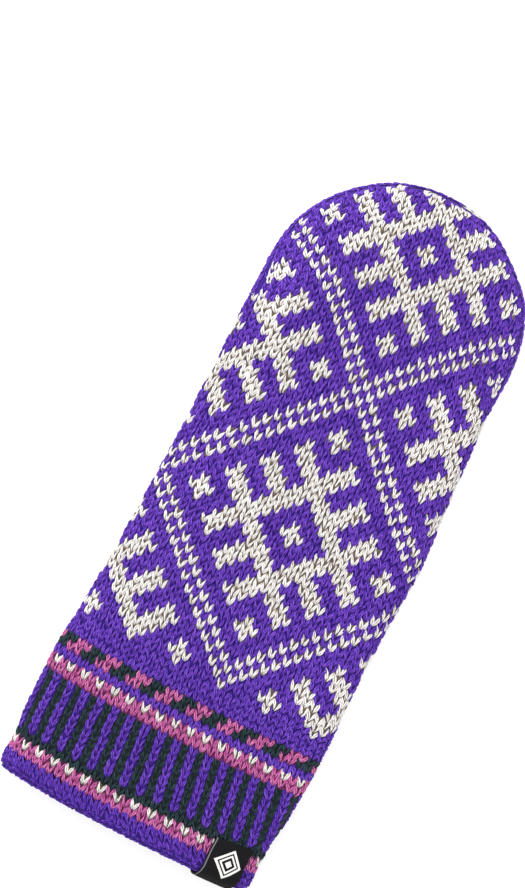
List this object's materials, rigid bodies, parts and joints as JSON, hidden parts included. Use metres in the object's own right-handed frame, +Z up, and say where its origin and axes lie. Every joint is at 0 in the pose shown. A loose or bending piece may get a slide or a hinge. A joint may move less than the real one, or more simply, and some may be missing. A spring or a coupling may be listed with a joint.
{
  "type": "wool mitten",
  "caption": "Right-hand knitted wool mitten lying palm down, with a folded thumb, a ribbed striped cuff, a rolled hem and a folded woven tab.",
  "frame": {"origin": "centre of the bounding box on the surface that the mitten lies on", "axes": "+Y from the wrist to the fingertips, +X towards the little finger, +Z up through the back of the hand"},
  "size_m": [0.1145, 0.2716, 0.0189],
  "materials": {
    "hand_wool": "matte knitted wool, cream pattern on purple",
    "thumb_wool": "matte knitted wool, plain purple",
    "cuff_wool": "matte knitted wool, purple, dark green, pink and cream",
    "hem_wool": "matte knitted wool, plain purple, purl side out",
    "woven_tab": "fine woven satin, black"
  },
  "bodies": {
    "root": {"hand": "hand_wool", "thumb": "thumb_wool", "cuff": "cuff_wool", "rolled_hem": "hem_wool", "label_tab": "woven_tab"}
  },
  "joints": []
}
